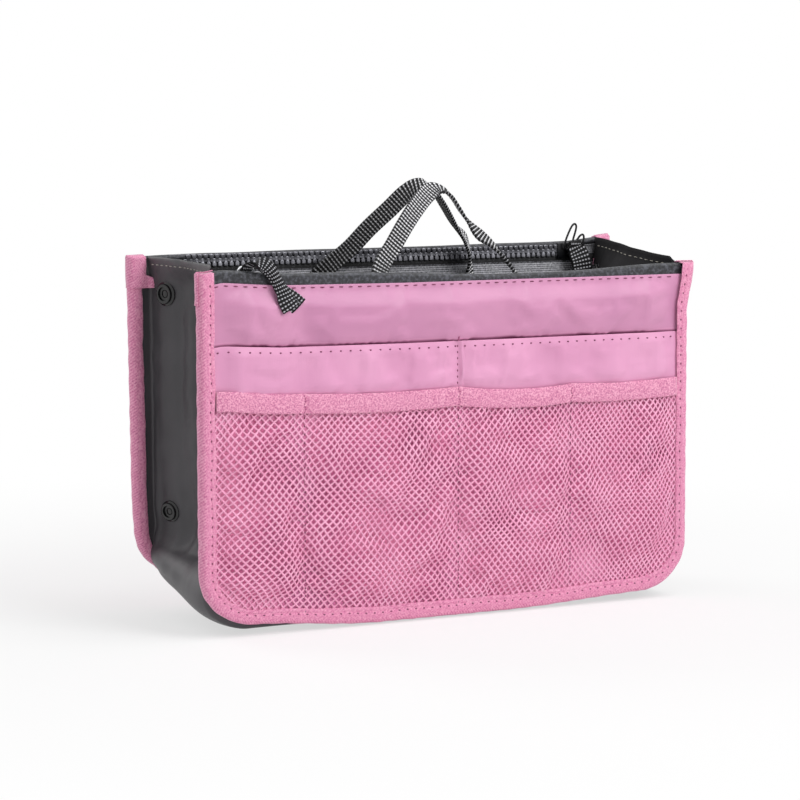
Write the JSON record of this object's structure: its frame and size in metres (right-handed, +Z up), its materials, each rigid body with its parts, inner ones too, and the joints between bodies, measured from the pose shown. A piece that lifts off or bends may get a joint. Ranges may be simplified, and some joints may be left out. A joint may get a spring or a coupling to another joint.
{
  "type": "purse organizer insert",
  "caption": "Open-topped fabric insert with two bound pocket sides, zipped edges, net pockets, folding snap gussets and webbing handles, for sorting things inside a handbag.",
  "frame": {"origin": "middle of the base, on the surface that it stands on", "axes": "+X along the length, +Y from the front side to the rear side, +Z up"},
  "size_m": [0.288, 0.088, 0.2198],
  "materials": {
    "pink_nylon": "smooth woven nylon, soft sheen",
    "pink_tape": "twill-woven binding tape, matte",
    "pink_mesh": "knitted diamond net, matte",
    "hem_nylon": "woven nylon, blue-grey charcoal, soft sheen",
    "charcoal_nylon": "woven nylon, charcoal, soft sheen",
    "webbing": "narrow woven webbing, matte",
    "zip_tape": "woven zip tape, matte",
    "zip_plastic": "moulded plastic teeth, satin",
    "snap_plastic": "moulded black plastic, satin",
    "nickel": "nickel plated, satin",
    "black_metal": "black oxide, satin",
    "foam": "white open-cell foam sheet"
  },
  "bodies": {
    "front_side": {"front_base_panel": "hem_nylon", "front_padding": "foam", "front_cover_pocket": "pink_nylon", "front_slip_pocket": "pink_nylon", "front_mesh_pocket": "pink_mesh", "front_mesh_elastic": "pink_tape", "front_edge_binding": "pink_tape", "front_lining": "charcoal_nylon", "front_zip_tape_upper": "zip_tape", "front_zip_tape_lower": "zip_tape", "front_zip_teeth_upper": "zip_plastic", "front_zip_teeth_lower": "zip_plastic", "front_base_half": "charcoal_nylon", "front_left_gusset": "charcoal_nylon", "front_left_upper_snap_stud": "snap_plastic", "front_left_upper_snap_cap": "snap_plastic", "front_left_lower_snap_stud": "snap_plastic", "front_left_lower_snap_cap": "snap_plastic", "front_right_gusset": "charcoal_nylon", "front_right_upper_snap_stud": "snap_plastic", "front_right_upper_snap_cap": "snap_plastic", "front_right_lower_snap_stud": "snap_plastic", "front_right_lower_snap_cap": "snap_plastic"},
    "front_slider": {"front_zip_slider": "nickel"},
    "front_ring": {"front_pull_ring": "nickel"},
    "front_tab": {"front_pull_tab": "webbing"},
    "front_handle": {"front_handle": "webbing"},
    "rear_side": {"rear_base_panel": "hem_nylon", "rear_padding": "foam", "rear_cover_pocket": "pink_nylon", "rear_slip_pocket": "pink_nylon", "rear_mesh_pocket": "pink_mesh", "rear_mesh_elastic": "pink_tape", "rear_edge_binding": "pink_tape", "rear_lining": "charcoal_nylon", "rear_zip_tape_upper": "zip_tape", "rear_zip_tape_lower": "zip_tape", "rear_zip_teeth_upper": "zip_plastic", "rear_zip_teeth_lower": "zip_plastic", "rear_base_half": "charcoal_nylon", "rear_left_gusset": "charcoal_nylon", "rear_left_upper_snap_socket": "snap_plastic", "rear_left_upper_snap_cap": "snap_plastic", "rear_left_lower_snap_socket": "snap_plastic", "rear_left_lower_snap_cap": "snap_plastic", "rear_right_gusset": "charcoal_nylon", "rear_right_upper_snap_socket": "snap_plastic", "rear_right_upper_snap_cap": "snap_plastic", "rear_right_lower_snap_socket": "snap_plastic", "rear_right_lower_snap_cap": "snap_plastic"},
    "rear_slider": {"rear_zip_slider": "black_metal"},
    "rear_ring": {"rear_pull_ring": "black_metal"},
    "rear_tab": {"rear_pull_tab": "webbing"},
    "rear_handle": {"rear_handle": "webbing"}
  },
  "joints": [
    {"name": "width_adjust", "type": "slide", "parent": "rear_side", "child": "front_side", "axis": [0, 1, 0], "range_m": [0, 0.038], "deforming": ["front_left_gusset", "front_right_gusset", "rear_left_gusset", "rear_right_gusset", "front_base_half", "rear_base_half", "front_handle", "rear_handle"]},
    {"name": "front_zip", "type": "slide", "parent": "front_side", "child": "front_slider", "axis": [1, 0, 0], "range_m": [0, 0.223], "deforming": ["front_zip_teeth_upper", "front_zip_teeth_lower"]},
    {"name": "rear_zip", "type": "slide", "parent": "rear_side", "child": "rear_slider", "axis": [-1, 0, 0], "range_m": [0, 0.223], "deforming": ["rear_zip_teeth_upper", "rear_zip_teeth_lower"]},
    {"name": "front_ring_swing", "type": "hinge", "parent": "front_slider", "child": "front_ring", "pos_m": [-0.1155, -0.0331, 0.1766], "axis": [1, 0, 0], "range_deg": [-110, 0], "deforming": ["front_pull_tab"]},
    {"name": "rear_ring_swing", "type": "hinge", "parent": "rear_slider", "child": "rear_ring", "pos_m": [0.1155, 0.0331, 0.1766], "axis": [-1, 0, 0], "range_deg": [0, 19], "deforming": ["rear_pull_tab"]},
    {"name": "front_tab_swing", "type": "hinge", "parent": "front_ring", "child": "front_tab", "pos_m": [-0.1155, -0.03665, 0.18691], "axis": [1, 0, 0], "range_deg": [-120, 0]},
    {"name": "rear_tab_swing", "type": "hinge", "parent": "rear_ring", "child": "rear_tab", "pos_m": [0.1155, 0.0331, 0.1875], "axis": [-1, 0, 0], "range_deg": [0, 100]},
    {"name": "front_handle_swing", "type": "hinge", "parent": "front_side", "child": "front_handle", "pos_m": [0, -0.0362, 0.1626], "axis": [1, 0, 0], "range_deg": [-4, 14]},
    {"name": "rear_handle_swing", "type": "hinge", "parent": "rear_side", "child": "rear_handle", "pos_m": [0, 0.0362, 0.1626], "axis": [-1, 0, 0], "range_deg": [-4, 14]}
  ]
}
